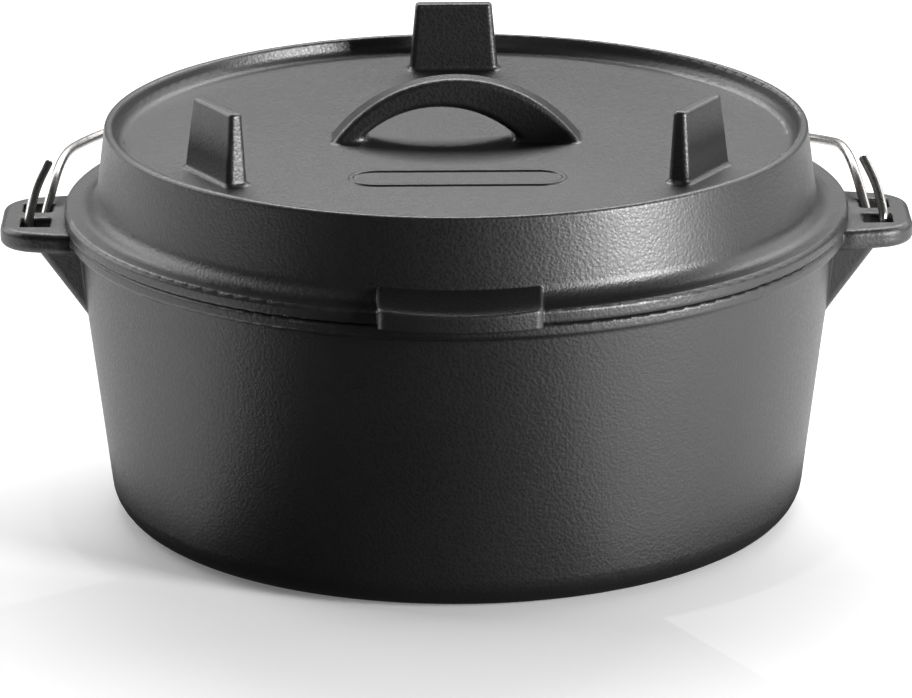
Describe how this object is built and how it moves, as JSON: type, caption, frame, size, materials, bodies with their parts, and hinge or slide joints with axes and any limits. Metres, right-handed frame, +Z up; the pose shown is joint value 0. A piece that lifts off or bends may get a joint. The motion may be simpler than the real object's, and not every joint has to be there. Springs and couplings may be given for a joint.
{
  "type": "dutch oven",
  "caption": "Round cast iron dutch oven with a footed lid that also serves as a shallow pan, an arched lid handle, side ears and a swinging wire bail.",
  "frame": {"origin": "centre of the pot's flat base, on the surface it stands on", "axes": "+Z up along the pot's axis, +X through one ear, -Y towards the lid's lifting tab (the front)"},
  "size_m": [0.3322, 0.3021, 0.1642],
  "materials": {
    "cast_iron": "seasoned, satin black with a fine sand-cast grain",
    "cast_iron_lid": "seasoned, satin black with a fine sand-cast grain",
    "bail_wire": "bright drawn steel wire"
  },
  "bodies": {
    "pot_body": {"pot": "cast_iron"},
    "lid_body": {"lid": "cast_iron_lid"},
    "bail_body": {"bail": "bail_wire"}
  },
  "joints": [
    {"name": "lid_lift", "type": "slide", "parent": "pot_body", "child": "lid_body", "axis": [0, 0, 1], "range_m": [0, 0.2]},
    {"name": "bail_swing", "type": "hinge", "parent": "pot_body", "child": "bail_body", "pos_m": [0, 0, 0.10625], "axis": [1, 0, 0], "range_deg": [0, 84]}
  ]
}
